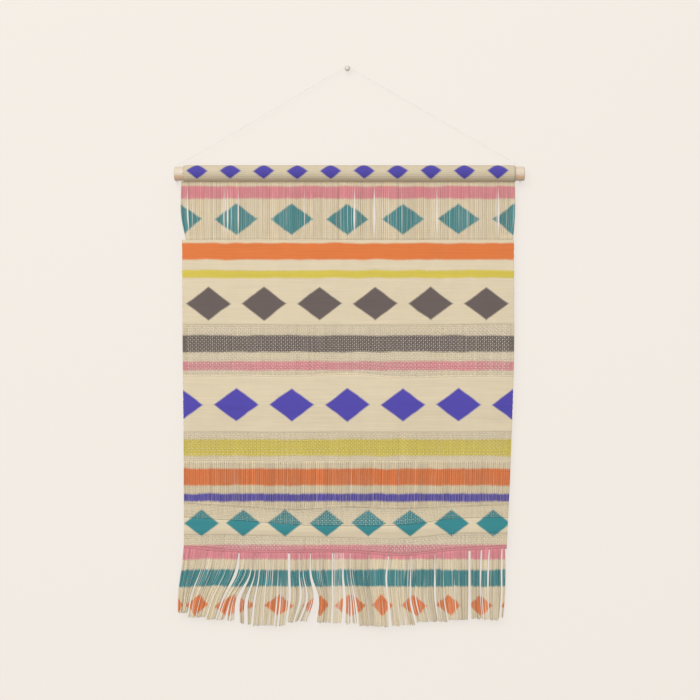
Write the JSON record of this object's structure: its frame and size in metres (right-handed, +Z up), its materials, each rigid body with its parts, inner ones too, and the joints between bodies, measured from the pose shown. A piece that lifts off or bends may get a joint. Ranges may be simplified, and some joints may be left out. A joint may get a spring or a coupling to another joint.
{
  "type": "textile wall hanging on a wooden dowel with its wall pin",
  "caption": "Woven cloth wall hanging with an open warp band, gauze bands and a fringe, its top folded round a wooden dowel hung by a string from a wall pin.",
  "frame": {"origin": "centre of the wall pin's flat end, on the wall", "axes": "+Z up, +X to the right seen from the front, +Y into the wall, so the front faces -Y"},
  "size_m": [0.6302, 0.03, 1.0106],
  "materials": {
    "woven_cloth": "printed plain weave and gauze, matte",
    "warp_yarn": "printed warp yarns, matte with a soft sheen",
    "dowel_wood": "pale sanded wood, unvarnished",
    "string_twine": "thin pale twisted string",
    "pin_head": "domed head in pale satin paint"
  },
  "bodies": {
    "root": {"wall_pin": "pin_head", "hanging_string": "string_twine", "string_knot_left": "string_twine", "string_knot_right": "string_twine", "dowel": "dowel_wood", "rod_sleeve": "woven_cloth", "open_warp_upper": "warp_yarn", "woven_cloth": "woven_cloth", "fringe": "warp_yarn"}
  },
  "joints": []
}
